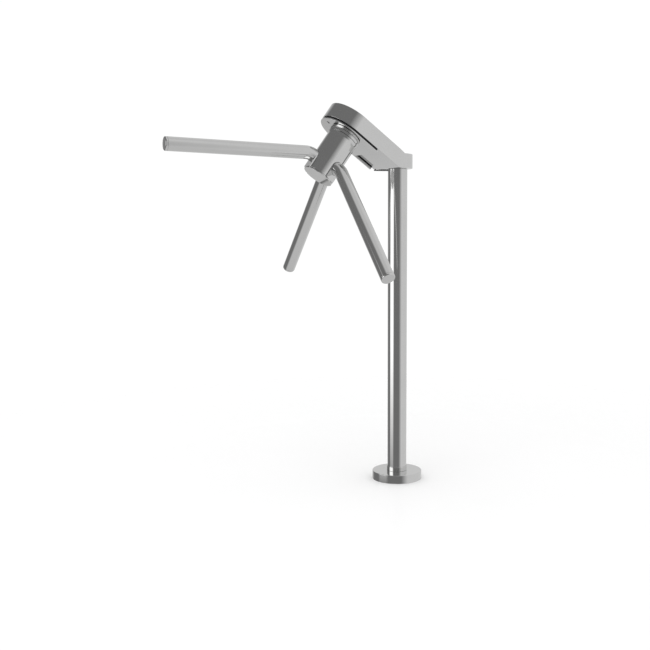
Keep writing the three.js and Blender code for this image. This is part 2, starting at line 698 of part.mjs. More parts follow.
const LEVER_END_RADIUS = 6;
const LEVER_LEVEL = [81.2, 84.2];
const PAWL_END_RADIUS = 3.9;
const ROLLER_RADIUS = 7;
const ROLLER_LEVEL = [84.7, 91.7];
const STEM_RADIUS = 2.5;

// A flat bar with round ends, drilled for its pin at the first end.
function flatLever(from, to, endRadius, levels) {
  const length = Math.hypot(to[0] - from[0], to[1] - from[1]);
  const bar = box([0, length], [-endRadius, endRadius], levels);
  const tip = disc(endRadius, levels[0], levels[1], 20).translate(length, 0, 0);
  const pivot = disc(endRadius, levels[0], levels[1], 20);
  const hole = disc(PIN_RADIUS + GAP, levels[0] - 1, levels[1] + 1, SMALL_STEPS);
  const angle = Math.atan2(to[1] - from[1], to[0] - from[0]);
  const lever = cut(join(bar, tip, pivot), hole);
  return lever.rotateZ(angle).translate(from[0], from[1], 0);
}

const ROLLER_AT = [24.6, 24.6];
const PAWL_TIP_AT = [18, -29.5];

function buildLevers() {
  const [x, y] = ROLLER_AT;
  const lever = flatLever(LEVER_PIN, ROLLER_AT, LEVER_END_RADIUS, LEVER_LEVEL);
  const stem = disc(STEM_RADIUS, LEVER_LEVEL[1] - 1, ROLLER_LEVEL[1] + 0.5, 12).translate(x, y, 0);
  addPart("index_lever", join(lever, stem), hardSteel, head);
  const roller = ring(ROLLER_RADIUS, STEM_RADIUS + GAP, ...ROLLER_LEVEL, 24);
  addPart("index_roller", roller.translate(x, y, 0), rubber, head);
  const pawl = flatLever(PAWL_PIN, PAWL_TIP_AT, PAWL_END_RADIUS, RATCHET_LEVEL);
  addPart("pawl", pawl, hardSteel, head);
}

buildFloorFlange();
buildBaseCover();
buildPost();
buildShell();
buildFace();
buildFarEdge();
buildChassis();
buildBearings();
buildCounter();
buildShaft();
buildCarrier();
buildHub();
buildSaddles();
buildEndPlate();
buildArms();
buildIndexWheels();
buildVane();
buildLevers();

export default turnstile;
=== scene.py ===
import json
import math

import bmesh
import bpy
from mathutils import Matrix, Vector


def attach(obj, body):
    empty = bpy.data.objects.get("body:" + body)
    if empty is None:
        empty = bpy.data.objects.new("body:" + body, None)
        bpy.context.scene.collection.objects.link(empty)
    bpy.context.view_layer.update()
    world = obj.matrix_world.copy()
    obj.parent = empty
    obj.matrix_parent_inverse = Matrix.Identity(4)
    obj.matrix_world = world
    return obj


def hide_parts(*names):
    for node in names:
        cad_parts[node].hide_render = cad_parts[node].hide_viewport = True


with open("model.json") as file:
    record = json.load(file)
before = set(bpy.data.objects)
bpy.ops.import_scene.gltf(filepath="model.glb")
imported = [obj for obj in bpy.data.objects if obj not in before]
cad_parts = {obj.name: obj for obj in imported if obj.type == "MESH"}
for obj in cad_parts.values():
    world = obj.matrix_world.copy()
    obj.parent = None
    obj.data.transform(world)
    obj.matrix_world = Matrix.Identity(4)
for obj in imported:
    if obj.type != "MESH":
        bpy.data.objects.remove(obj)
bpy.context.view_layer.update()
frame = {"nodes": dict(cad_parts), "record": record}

# Dimensions are in millimetres and repeat those of the CAD part. Heights of head pieces are along
# the rotor axis from the apex, the point where the three arm lines meet.
MM = 0.001
GAP = 0.3
WALL = 4.0
POST_RADIUS = 25.4
POST_WALL = 2.5
BASE_RADIUS = 66.0
BASE_HEIGHT = 22.0
FLANGE_THICKNESS = 8.0
COVER_WALL = 2.0
COVER_TOP = 3.0
COLLAR_WALL = 1.3
COLLAR_HEIGHT = 11.8
APEX_REACH = 185.4
APEX_HEIGHT = 856.6
AXIS_TILT = math.radians(54)
ARM_ANGLE = math.radians(55.2)
ARM_RADIUS = 16.85
ARM_WALL = 2.25
SLOT_HALF_WIDTH = ARM_RADIUS + 0.65
ARM_REACH = 426.0
ARM_COUNT = 3
BEND_RADIUS = 40.0
STUB_START = 20.0
STUB_LEVEL = -35.0
CAP_LENGTH = 6.0
CAP_PLUG = 12.0
CAP_EDGE = 2.5
HUB_RADIUS = 39.6
HUB_WALL = 5.0
HUB_END = -68.0
HUB_TOP = 47.0
HUB_COLLAR_HEIGHT = 7.0
HUB_WEB_LOW = 34.0
SLOT_REACH = (25.0, 50.0)
SADDLE_START = 20.0
END_PLATE_THICKNESS = 3.0
NOTCH_DEPTH = 2.5
NOTCH_HALF_WIDTH = 3.0
HOUSING_LOW = 48.5
HOUSING_FLOOR = 1.2
HOUSING_TOP = 76.0
FLANGE_RADIUS = HUB_RADIUS + 1.6
SLEEVE_RADIUS = 32.0
BEARING_RADIUS = 21.0
SHAFT_RADIUS = 12.2
HEAD_HALF_WIDTH = 68.0
HEAD_TOP = 103.5
HEAD_BOTTOM = 63.0
NOSE_OFFSET = 3.0
REAR_CENTRE = -33.4
BLOCK_TOP = 860.0
BLOCK_BOTTOM = 824.0
FACE_TOP = HEAD_BOTTOM - 5.2
FACE_BOTTOM = FACE_TOP - 2.3
FACE_END = -73.0
FACE_SCREW_AT = 55.0
SCREW_RADIUS = 2.5
SCREW_HOLE = SCREW_RADIUS + GAP
SCREW_HEAD_RADIUS = 4.4
SCREW_SOCKET = 1.9
SCREW_SOCKET_DEPTH = 1.2
RAIL_SIZE = 5.0
GRUB_LEVELS = (780.0, 800.0)
GRUB_RADIUS = 4.0
GRUB_SPAN = (16.5, 24.8)
GRUB_SOCKET = 2.3
GRUB_SOCKET_FLOOR = 21.5
TURN_STEPS = 128
FAR = 260.0
BEYOND = 400.0

HEAD = Matrix((
    (-math.sin(AXIS_TILT), 0, math.cos(AXIS_TILT), -APEX_REACH),
    (0, -1, 0, 0),
    (math.cos(AXIS_TILT), 0, math.sin(AXIS_TILT), APEX_HEIGHT),
    (0, 0, 0, 1),
))
UPRIGHT = Matrix.Identity(4)

CAMERA_PLACE = Vector((-1.1486, -2.1209, 0.6790))
CAMERA_AIM = Vector((0.4519, 0.8854, -0.1090))
SENSOR_WIDTH = 36.0
LENS = 50.54
FRAMING_SHIFT = -0.077
STUDIO_FRONT = Vector((-0.45, -0.89, 0))
STUDIO_RIGHT = Vector((0.89, -0.45, 0))


# ---- outlines and meshes, in millimetres ----
def rounded(corners, steps=4):
    """The points of a closed outline; a corner with a third number is rounded to that radius."""
    points = []
    for index, corner in enumerate(corners):
        here = Vector(corner[:2])
        if len(corner) < 3:
            points.append(here)
            continue
        before = (Vector(corners[index - 1][:2]) - here).normalized()
        after = (Vector(corners[(index + 1) % len(corners)][:2]) - here).normalized()
        half = before.angle(after) / 2
        centre = here + (before + after).normalized() * corner[2] / math.sin(half)
        first = here + before * corner[2] / math.tan(half) - centre
        last = here + after * corner[2] / math.tan(half) - centre
        sweep = first.angle(last)
        for step in range(steps + 1):
            part = sweep * step / steps
            offset = first * math.sin(sweep - part) + last * math.sin(part)
            points.append(centre + offset / math.sin(sweep))
    return points


def skinned(rings, closed):
    """A mesh through rings of points; a ring of one point closes the mesh there."""
    body = bmesh.new()
    rows = [[body.verts.new(point) for point in ring] for ring in rings]
    steps = max(len(row) for row in rows)
    pairs = list(zip(rows, rows[1:] + rows[:1])) if closed else list(zip(rows, rows[1:]))
    for low, high in pairs:
        if len(low) == 1 and len(high) == 1:
            continue
        for step in range(steps):
            following = (step + 1) % steps
            corners = [low[step % len(low)], low[following % len(low)],
                       high[following % len(high)], high[step % len(high)]]
            body.faces.new(list(dict.fromkeys(corners)))
    bmesh.ops.recalc_face_normals(body, faces=body.faces)
    return body


def turned(corners, steps=TURN_STEPS):
    """A body turned about Z from the corners (radius, height, rounding) of its closed section."""
    rings = []
    for radius, height in rounded(corners):
        if radius < 1e-6:
            rings.append([Vector((0, 0, height))])
            continue
        angles = [2 * math.pi * step / steps for step in range(steps)]
        rings.append([Vector((radius * math.cos(a), radius * math.sin(a), height)) for a in angles])
    return skinned(rings, closed=True)


def disc(radius, low, high, steps=48):
    return turned([(0, low), (radius, low), (radius, high), (0, high)], steps)


def prism(outline, low, high):
    """A flat outline in X and Y, given depth along Z."""
    body = bmesh.new()
    bottom = [body.verts.new((x, y, low)) for x, y in outline]
    top = [body.verts.new((x, y, high)) for x, y in outline]
    body.faces.new(list(reversed(bottom)))
    body.faces.new(top)
    for index in range(len(outline)):
        following = (index + 1) % len(outline)
        body.faces.new([bottom[index], bottom[following], top[following], top[index]])
    bmesh.ops.recalc_face_normals(body, faces=body.faces)
    return body


def block(x, y, z):
    return prism([(x[0], y[0]), (x[1], y[0]), (x[1], y[1]), (x[0], y[1])], z[0], z[1])


def round_nosed(half_width, centre, tail, steps=72):
    """A straight-sided outline with one round end at +X and a square one at the tail."""
    points = [(tail, -half_width)]
    for step in range(steps + 1):
        angle = math.pi * (step / steps - 0.5)
        points.append((centre + half_width * math.cos(angle), half_width * math.sin(angle)))
    points.append((tail, half_width))
    return points


def moved(body, matrix):
    bmesh.ops.transform(body, matrix=matrix, verts=body.verts)
    return body


def turn_z(angle):
    return Matrix.Rotation(angle, 4, "Z")


def turn_y(angle):
    return Matrix.Rotation(angle, 4, "Y")


def plain_object(name, body):
    mesh = bpy.data.meshes.new(name)
    body.to_mesh(mesh)
    body.free()
    piece = bpy.data.objects.new(name, mesh)
    bpy.context.scene.collection.objects.link(piece)
    return piece


def settled_mesh(piece):
    """The piece's mesh with its modifiers applied."""
    graph = bpy.context.evaluated_depsgraph_get()
    return bpy.data.meshes.new_from_object(piece.evaluated_get(graph), depsgraph=graph)


def combined(operation, first, *others):
    """The first body with the others cut from it (DIFFERENCE) or kept where all meet (INTERSECT)."""
    base = plain_object("base", first)
    tools = [plain_object("tool", other) for other in others]
    for tool in tools:
        modifier = base.modifiers.new("combine", "BOOLEAN")
        modifier.operation = operation
        modifier.solver = "EXACT"
        modifier.object = tool
    result = bmesh.new()
    result.from_mesh(settled_mesh(base))
    for used in [base, *tools]:
        bpy.data.objects.remove(used)
    bmesh.ops.remove_doubles(result, verts=result.verts, dist=1e-3)
    return result


def keep_own_places(mesh):
    """Stores where each point lies in the piece's own frame, for finishes that follow its shape."""
    places = mesh.attributes.new("own_place", "FLOAT_VECTOR", "POINT")
    for point, kept in zip(mesh.vertices, places.data):
        kept.vector = point.co


def make_piece(name, body, look, rides_on, nodes, place=UPRIGHT, edge=0.0):
    """Places a body built in millimetres, softens its edges and gives it its finish and its ride."""
    bmesh.ops.scale(body, vec=(MM, MM, MM), verts=body.verts)
    piece = plain_object(name, body)
    if edge:
        bevel = piece.modifiers.new("edge", "BEVEL")
        bevel.width = edge * MM
        bevel.segments = 3
        bevel.limit_method = "ANGLE"
        bevel.angle_limit = math.radians(32)
        bevel.use_clamp_overlap = False
        bevel.miter_outer = "MITER_ARC"
        piece.data = settled_mesh(piece)
        piece.modifiers.clear()
    for face in piece.data.polygons:
        face.use_smooth = True
    piece.data.set_sharp_from_angle(angle=math.radians(40))
    weighted = piece.modifiers.new("normals", "WEIGHTED_NORMAL")
    weighted.keep_sharp = True
    piece.data = settled_mesh(piece)
    piece.modifiers.clear()
    keep_own_places(piece.data)
    piece.data.transform(Matrix.Translation(place.translation * MM) @ place.to_3x3().to_4x4())
    piece.data.materials.clear()
    piece.data.materials.append(look)
    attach(piece, rides_on)
    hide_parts(*nodes)
    return piece


# ---- materials ----
def add(tree, kind, values=None, **settings):
    node = tree.nodes.new(kind)
    for key, value in settings.items():
        setattr(node, key, value)
    for key, value in (values or {}).items():
        node.inputs[key].default_value = value
    return node


def mapped(tree, source, low, high, from_low=0.3, from_high=0.7):
    node = add(tree, "ShaderNodeMapRange", {
        "From Min": from_low, "From Max": from_high, "To Min": low, "To Max": high,
    })
    tree.links.new(source, node.inputs["Value"])
    return node.outputs["Result"]


def noise(tree, source, scale, detail=3.0, stretch=(1, 1, 1)):
    """Noise over the piece's own coordinates, drawn out along the axes with a small stretch."""
    mapping = add(tree, "ShaderNodeMapping", {"Scale": stretch})
    tree.links.new(source, mapping.inputs["Vector"])
    texture = add(tree, "ShaderNodeTexNoise", {"Scale": scale, "Detail": detail, "Roughness": 0.6})
    tree.links.new(mapping.outputs["Vector"], texture.inputs["Vector"])
    return texture.outputs["Fac"]


def blended(tree, factor, first, second):
    node = add(tree, "ShaderNodeMix", data_type="RGBA")
    tree.links.new(factor, node.inputs["Factor"])
    for socket, colour in ((6, first), (7, second)):
        if isinstance(colour, tuple):
            node.inputs[socket].default_value = (*colour, 1)
        else:
            tree.links.new(colour, node.inputs[socket])
    return node.outputs[2]


def maths(tree, operation, first, second=0.0):
    """A sum on one or two values, each a number or another node's output."""
    node = add(tree, "ShaderNodeMath", operation=operation)
    for socket, value in ((0, first), (1, second)):
        if isinstance(value, (int, float)):
            node.inputs[socket].default_value = value
        else:
            tree.links.new(value, node.inputs[socket])
    return node.outputs[0]


def edge_wear(tree, amount):
    """0 on flat and inside faces, up to the amount on outer edges."""
    geometry = add(tree, "ShaderNodeNewGeometry")
    return mapped(tree, geometry.outputs["Pointiness"], 0.0, amount, 0.51, 0.60)


def new_material(name, metallic, own_place=False):
    """A material with a plain shader, and the coordinates its patterns use: the stored places of a
    piece made here, or the object coordinates of a CAD node."""
    material = bpy.data.materials.new(name)
    material.use_nodes = True
    tree = material.node_tree
    tree.nodes.clear()
    shader = add(tree, "ShaderNodeBsdfPrincipled", {"Metallic": metallic})
    output = add(tree, "ShaderNodeOutputMaterial")
    tree.links.new(shader.outputs["BSDF"], output.inputs["Surface"])
    if own_place:
        own = add(tree, "ShaderNodeAttribute", attribute_name="own_place").outputs["Vector"]
    else:
        own = add(tree, "ShaderNodeTexCoord").outputs["Object"]
    return material, tree, shader, own


def add_bump(tree, shader, height, strength, distance):
    bump = add(tree, "ShaderNodeBump", {"Strength": strength, "Distance": distance})
    tree.links.new(height, bump.inputs["Height"])
    tree.links.new(bump.outputs["Normal"], shader.inputs["Normal"])


def steel(name, tone, roughness, spread, stretch, relief, own_place=True):
    """Polished steel: soft clouding, fine polishing lines along one way, and lighter worn edges."""
    material, tree, shader, own = new_material(name, 1.0, own_place)
    lines = noise(tree, own, 900.0, 2.0, stretch)
    clouds = noise(tree, own, 16.0, 4.0)
    marks = noise(tree, own, 140.0, 5.0)
    worn = edge_wear(tree, 0.5)
    dark = tuple(0.955 * part for part in tone)
    light = tuple(min(1.0, 1.12 * part) for part in tone)
    clouded = blended(tree, mapped(tree, clouds, 0.0, 1.0), dark, tone)
    lined = blended(tree, mapped(tree, lines, 0.0, 0.35), clouded, dark)
    tree.links.new(blended(tree, worn, lined, light), shader.inputs["Base Color"])
    fine = mapped(tree, lines, -spread, spread)
    smudge = mapped(tree, marks, 0.0, spread, 0.5, 0.75)
    broad = mapped(tree, clouds, roughness - spread / 2, roughness + spread / 2)
    total = maths(tree, "ADD", maths(tree, "ADD", broad, fine), smudge)
    tree.links.new(total, shader.inputs["Roughness"])
    add_bump(tree, shader, lines, relief, 0.00002)
    return material


def zinc_plate():
    """Zinc-plated steel: a pale crystal pattern under a fine grain."""
    material, tree, shader, own = new_material("zinc_plate", 0.9)
    crystals = add(tree, "ShaderNodeTexVoronoi", {"Scale": 220.0})
    tree.links.new(own, crystals.inputs["Vector"])
    grain = noise(tree, own, 1400.0, 3.0)
    patches = mapped(tree, crystals.outputs["Distance"], 0.0, 1.0, 0.0, 0.8)
    tone = blended(tree, patches, (0.46, 0.49, 0.50), (0.62, 0.64, 0.65))
    tree.links.new(tone, shader.inputs["Base Color"])
    tree.links.new(mapped(tree, grain, 0.38, 0.56), shader.inputs["Roughness"])
    add_bump(tree, shader, grain, 0.15, 0.00003)
    return material


def dark_solid(name, tone, highlight, roughness, grain_scale, relief):
    """A dark moulded material with a fine grain and slightly paler high spots."""
    material, tree, shader, own = new_material(name, 0.0)
    grain = noise(tree, own, grain_scale, 4.0)
    clouds = noise(tree, own, 30.0, 3.0)
    clouded = blended(tree, mapped(tree, clouds, 0.0, 1.0), tone, highlight)
    tree.links.new(clouded, shader.inputs["Base Color"])
    tree.links.new(mapped(tree, grain, roughness - 0.08, roughness + 0.1), shader.inputs["Roughness"])
    add_bump(tree, shader, grain, relief, 0.00005)
    return material


def board():
    """A green circuit board with a lighter pattern of tracks."""
    material, tree, shader, own = new_material("board", 0.0)
    tracks = add(tree, "ShaderNodeTexBrick", {
        "Scale": 120.0, "Mortar Size": 0.03,
        "Color1": (0.012, 0.085, 0.04, 1), "Color2": (0.014, 0.1, 0.045, 1),
        "Mortar": (0.05, 0.22, 0.09, 1),
    })
    tree.links.new(own, tracks.inputs["Vector"])
    tree.links.new(tracks.outputs["Color"], shader.inputs["Base Color"])
    grain = noise(tree, own, 500.0, 3.0)
    tree.links.new(mapped(tree, grain, 0.32, 0.46), shader.inputs["Roughness"])
    add_bump(tree, shader, tracks.outputs["Fac"], 0.2, 0.00005)
    return material


STEEL_TONE = (0.79, 0.79, 0.785)
turned_steel = steel("turned_steel", STEEL_TONE, 0.07, 0.02, (0.04, 0.04, 1.0), 0.04)
tube_steel = steel("tube_steel", STEEL_TONE, 0.065, 0.02, (1.0, 1.0, 0.03), 0.04)
sheet_steel = steel("sheet_steel", STEEL_TONE, 0.07, 0.02, (0.03, 1.0, 1.0), 0.04)
DARK_TONE = (0.32, 0.325, 0.33)
screw_steel = steel("screw_steel", DARK_TONE, 0.30, 0.05, (0.1, 0.1, 1.0), 0.15)
dark_steel = steel("dark_steel", DARK_TONE, 0.30, 0.05, (0.1, 0.1, 1.0), 0.15, own_place=False)
plain_steel = steel("plain_steel", STEEL_TONE, 0.1, 0.02, (1.0, 1.0, 1.0), 0.04, own_place=False)
zinc = zinc_plate()
# Near-black rubber. The seal inside the gap between the head cover and the face plate takes this
# look: a dark part put there as painted shade, so that gap reads black.
rubber_and_gap_shade = dark_solid("rubber_and_gap_shade", (0.008, 0.008, 0.009), (0.016, 0.016, 0.017), 0.75, 900.0, 0.3)
plastic = dark_solid("plastic", (0.014, 0.015, 0.017), (0.028, 0.029, 0.031), 0.5, 2200.0, 0.25)
green_board = board()

SLOT_LOOKS = {
    "polished_steel": plain_steel,
    "zinc_steel": zinc,
    "hard_steel": dark_steel,
    # black rubber, also the painted shade of the seal in the gap under the head cover
    "black_rubber": rubber_and_gap_shade,
    "black_plastic": plastic,
    "circuit_board": green_board,
}


def finish_cad_nodes():
    """Gives every carried-over CAD node the detailed look of its slot in the record."""
    for entry in frame["record"]["subparts"]:
        mesh = frame["nodes"][entry["node"]].data
        mesh.materials.clear()
        mesh.materials.append(SLOT_LOOKS[entry["material_slot"]])


# ---- stand ----
def build_foot():
    bore = POST_RADIUS + GAP
    lip = BASE_RADIUS - COVER_WALL
    cover = turned([
        (lip, 0), (BASE_RADIUS, 0, 0.4), (BASE_RADIUS, BASE_HEIGHT, 1.5), (bore, BASE_HEIGHT, 0.3),
        (bore, BASE_HEIGHT - COVER_TOP), (lip, BASE_HEIGHT - COVER_TOP),
    ], 192)
    make_piece("foot_cover", cover, turned_steel, "stand", ["base_cover"])
    seat = BASE_HEIGHT + GAP
    radius = bore + COLLAR_WALL
    top = seat + COLLAR_HEIGHT
    collar = turned([(bore, seat), (radius, seat, 0.2), (radius, top, 0.6), (bore, top, 0.2)])
    make_piece("post_collar", collar, turned_steel, "stand", ["foot_collar"])


def hex_socket(radius, low, high):
    """A six-sided socket's hollow."""
    angles = [math.pi * corner / 3 for corner in range(6)]
    return prism([(radius * math.cos(a), radius * math.sin(a)) for a in angles], low, high)


def build_post():
    inner = POST_RADIUS - POST_WALL
    top = BLOCK_BOTTOM - GAP
    bottom = FLANGE_THICKNESS + GAP
    tube = turned([
        (inner, bottom), (POST_RADIUS, bottom, 0.4), (POST_RADIUS, top, 0.4), (inner, top),
    ])
    holes = []
    for level in GRUB_LEVELS:
        hole = disc(GRUB_RADIUS + GAP, inner - 5, POST_RADIUS + 5)
        holes.append(moved(hole, Matrix.Translation((0, 0, level)) @ turn_y(math.pi / 2)))
    tube = combined("DIFFERENCE", tube, *holes)
    make_piece("post_tube", tube, tube_steel, "stand", ["post"])
    start, end = GRUB_SPAN
    for number, level in enumerate(GRUB_LEVELS, 1):
        screw = turned([(0, start), (GRUB_RADIUS, start, 0.3), (GRUB_RADIUS, end, 0.5), (0, end)], 48)
        socket = hex_socket(GRUB_SOCKET, GRUB_SOCKET_FLOOR, end + 1)
        screw = combined("DIFFERENCE", screw, socket)
        place = Matrix.Translation((0, 0, level)) @ turn_y(math.pi / 2)
        make_piece(f"grub_screw_{number}", screw, screw_steel, "stand",
                   [f"post_grub_screw_{number}"], place)


# ---- head ----
def slope_at_height(level, height):
    """Slope position at which a plane of the slanted part reaches a world height."""
    return (height - APEX_HEIGHT - level * math.sin(AXIS_TILT)) / math.cos(AXIS_TILT)


def side_point(slope, level):
    point = HEAD @ Vector((slope, 0, level))
    return (point.x, point.z)


def head_solid(outline, half_width):
    """The head's side view, given its width and trimmed to its round nose and its round rear."""
    slab = moved(prism(outline, -half_width, half_width), Matrix.Rotation(math.pi / 2, 4, "X"))
    nose = moved(prism(round_nosed(half_width, NOSE_OFFSET, -BEYOND), -BEYOND, BEYOND), HEAD)
    rear = prism(round_nosed(half_width, REAR_CENTRE, -2 * BEYOND), BEYOND, 3 * BEYOND)
    return combined("INTERSECT", slab, nose, rear)


def build_shell():
    outer = [
        side_point(FAR, HEAD_TOP),
        side_point(slope_at_height(HEAD_TOP, BLOCK_TOP), HEAD_TOP),
        (FAR, BLOCK_TOP),
        (FAR, BLOCK_BOTTOM),
        side_point(slope_at_height(HEAD_BOTTOM, BLOCK_BOTTOM), HEAD_BOTTOM),
        side_point(FAR, HEAD_BOTTOM),
    ]
    roof = HEAD_TOP - WALL
    floor = HEAD_BOTTOM + WALL
    mouth = FACE_END + 3
    inner = [
        side_point(FAR, roof),
        side_point(slope_at_height(roof, BLOCK_TOP - WALL), roof),
        (FAR, BLOCK_TOP - WALL),
        (FAR, BLOCK_BOTTOM + WALL),
        side_point(slope_at_height(floor, BLOCK_BOTTOM + WALL), floor),
        side_point(mouth, floor),
        side_point(mouth, FACE_TOP),
        side_point(FAR, FACE_TOP),
    ]
    bolt_hole = disc(POST_RADIUS - POST_WALL, BLOCK_BOTTOM - 1, BLOCK_BOTTOM + WALL + 1, 96)
    cavity = head_solid(inner, HEAD_HALF_WIDTH - WALL)
    shell = combined("DIFFERENCE", head_solid(outer, HEAD_HALF_WIDTH), cavity, bolt_hole)
    shell = moved(shell, HEAD.inverted())
    make_piece("head_cover", shell, sheet_steel, "stand", ["head_shell"], HEAD,
               edge=0.7)


def build_face():
    face = prism(round_nosed(HEAD_HALF_WIDTH, NOSE_OFFSET, FACE_END), FACE_BOTTOM, FACE_TOP)
    centre_hole = disc(SLEEVE_RADIUS + GAP, FACE_BOTTOM - 1, FACE_TOP + 1, 96)
    sink = SCREW_HEAD_RADIUS + 0.5 - SCREW_HOLE
    screw_hole = turned([
        (0, FACE_BOTTOM - 1), (SCREW_HOLE + sink, FACE_BOTTOM - 1), (SCREW_HOLE + sink, FACE_BOTTOM),
        (SCREW_HOLE, FACE_BOTTOM + sink), (SCREW_HOLE, FACE_TOP + 1), (0, FACE_TOP + 1),
    ], 64)
    screw_place = Matrix.Translation((FACE_SCREW_AT, 0, 0))
    face = combined("DIFFERENCE", face, centre_hole, moved(screw_hole, screw_place))
    make_piece("face_cover", face, sheet_steel, "stand", ["face_plate"], HEAD, edge=0.4)

    head_low = FACE_BOTTOM + 0.2
    screw_end = HEAD_BOTTOM + 3.5
    head_high = head_low + SCREW_HEAD_RADIUS - SCREW_RADIUS
    screw = turned([
        (0, head_low), (SCREW_HEAD_RADIUS, head_low, 0.2), (SCREW_RADIUS, head_high),
        (SCREW_RADIUS, screw_end), (0, screw_end),
    ], 64)
    socket = hex_socket(SCREW_SOCKET, head_low - 1, head_low + SCREW_SOCKET_DEPTH)
    screw = combined("DIFFERENCE", screw, socket)
    make_piece("face_screw_head", screw, screw_steel, "stand", ["face_screw"],
               HEAD @ screw_place)


def build_side_rail():
    low_end = slope_at_height(FACE_BOTTOM, BLOCK_BOTTOM + 1)
    rail = block((low_end, FACE_END - GAP), (-HEAD_HALF_WIDTH, RAIL_SIZE - HEAD_HALF_WIDTH),
                 (FACE_BOTTOM, FACE_BOTTOM + RAIL_SIZE))
    make_piece("side_rail_strip", rail, sheet_steel, "stand", ["side_rail"], HEAD,
               edge=0.6)


def build_bearing_housing():
    mouth = BEARING_RADIUS - 5
    bore = BEARING_RADIUS + GAP
    seat = FACE_BOTTOM - GAP
    top = HOUSING_TOP
    floor = HOUSING_LOW + HOUSING_FLOOR
    housing = turned([
        (mouth, HOUSING_LOW), (HUB_RADIUS, HOUSING_LOW, 0.4), (FLANGE_RADIUS, seat - 0.6, 0.3),
        (FLANGE_RADIUS, seat, 0.3), (SLEEVE_RADIUS, seat), (SLEEVE_RADIUS, top, 0.4), (bore, top),
        (bore, floor), (mouth, floor),
    ])
    make_piece("bearing_collar", housing, turned_steel, "stand",
               ["bearing_housing"], HEAD)


# ---- rotor ----
def arm_heading(index):
    return 2 * math.pi * index / ARM_COUNT


def hub_slot(index):
    """The hollow of a U-shaped slot through the hub wall, open at the hub's lower end."""
    half_width = SLOT_HALF_WIDTH
    outline = [(HUB_END - 1 - STUB_LEVEL, -half_width)]
    steps = 32
    for step in range(steps + 1):
        angle = math.pi * (step / steps - 0.5)
        outline.append((half_width * math.cos(angle), half_width * math.sin(angle)))
    outline.append((HUB_END - 1 - STUB_LEVEL, half_width))
    hollow = prism(outline, -SLOT_REACH[1], -SLOT_REACH[0])
    place = Matrix.Translation((0, 0, STUB_LEVEL)) @ turn_y(-math.pi / 2)
    return moved(hollow, turn_z(arm_heading(index)) @ place)


def build_saddle(index):
    """The block that fills a hub slot below the arm."""
    half_width = SLOT_HALF_WIDTH - GAP
    reach = (SADDLE_START, HUB_RADIUS - 1)
    saddle = block(reach, (-half_width, half_width), (HUB_END, STUB_LEVEL))
    seat = moved(disc(ARM_RADIUS + GAP, SADDLE_START - 1, HUB_RADIUS, 96), turn_y(math.pi / 2))
    saddle = combined("DIFFERENCE", saddle, moved(seat, Matrix.Translation((0, 0, STUB_LEVEL))))
    number = index + 1
    make_piece(f"saddle_block_{number}", saddle, turned_steel, "rotor",
               [f"arm_saddle_{number}"], HEAD @ turn_z(arm_heading(index)), edge=0.4)


def build_hub():
    inner = HUB_RADIUS - HUB_WALL
    bore = SHAFT_RADIUS + GAP
    body = turned([
        (inner, HUB_END), (HUB_RADIUS, HUB_END, 0.5), (HUB_RADIUS, HUB_TOP - HUB_COLLAR_HEIGHT, 1.0),
        (FLANGE_RADIUS, HUB_TOP - 0.6, 0.3), (FLANGE_RADIUS, HUB_TOP, 0.3), (bore, HUB_TOP),
        (bore, HUB_WEB_LOW), (inner, HUB_WEB_LOW),
    ], 160)
    body = combined("DIFFERENCE", body, *[hub_slot(index) for index in range(ARM_COUNT)])
    make_piece("hub_body", body, turned_steel, "rotor", ["rotor_hub"], HEAD,
               edge=0.35)
    for index in range(ARM_COUNT):
        build_saddle(index)

    top = HUB_END - GAP
    low = top - END_PLATE_THICKNESS
    plate = turned([(0, low), (HUB_RADIUS, low, 0.9), (HUB_RADIUS, top, 0.3), (0, top)], 160)
    notches = []
    for index in range(ARM_COUNT):
        notch = block((HUB_RADIUS - NOTCH_DEPTH, HUB_RADIUS + 2),
                      (-NOTCH_HALF_WIDTH, NOTCH_HALF_WIDTH), (low - 2, top + 1))
        notches.append(moved(notch, turn_z(arm_heading(index) + math.pi)))
    plate = combined("DIFFERENCE", plate, *notches)
    make_piece("hub_cap", plate, turned_steel, "rotor", ["hub_end_plate"], HEAD)


def arm_centre_line():
    """Points of an arm's centre line in its own X-Z plane: radial stub, bend and long straight."""
    turn = math.pi / 2 - ARM_ANGLE
    corner = -STUB_LEVEL / math.cos(ARM_ANGLE)
    tangent = BEND_RADIUS * math.tan(turn / 2)
    bend_x = corner * math.sin(ARM_ANGLE) - tangent
    straight = ARM_REACH - CAP_LENGTH - corner - tangent
    points = [(Vector((STUB_START, 0, STUB_LEVEL)), 0.0)]
    bend_steps = 20
    for step in range(bend_steps + 1):
        angle = turn * step / bend_steps
        x = bend_x + BEND_RADIUS * math.sin(angle)
        z = STUB_LEVEL - BEND_RADIUS * (1 - math.cos(angle))
        points.append((Vector((x, 0, z)), angle))
    end = points[-1][0] + Vector((math.cos(turn), 0, -math.sin(turn))) * straight
    points.append((end, turn))
    return points


def arm_ring(centre, angle, radius, steps=80):
    across = Vector((math.sin(angle), 0, math.cos(angle)))
    side = Vector((0, 1, 0))
    turns = [2 * math.pi * step / steps for step in range(steps)]
    return [centre + (across * math.cos(t) + side * math.sin(t)) * radius for t in turns]


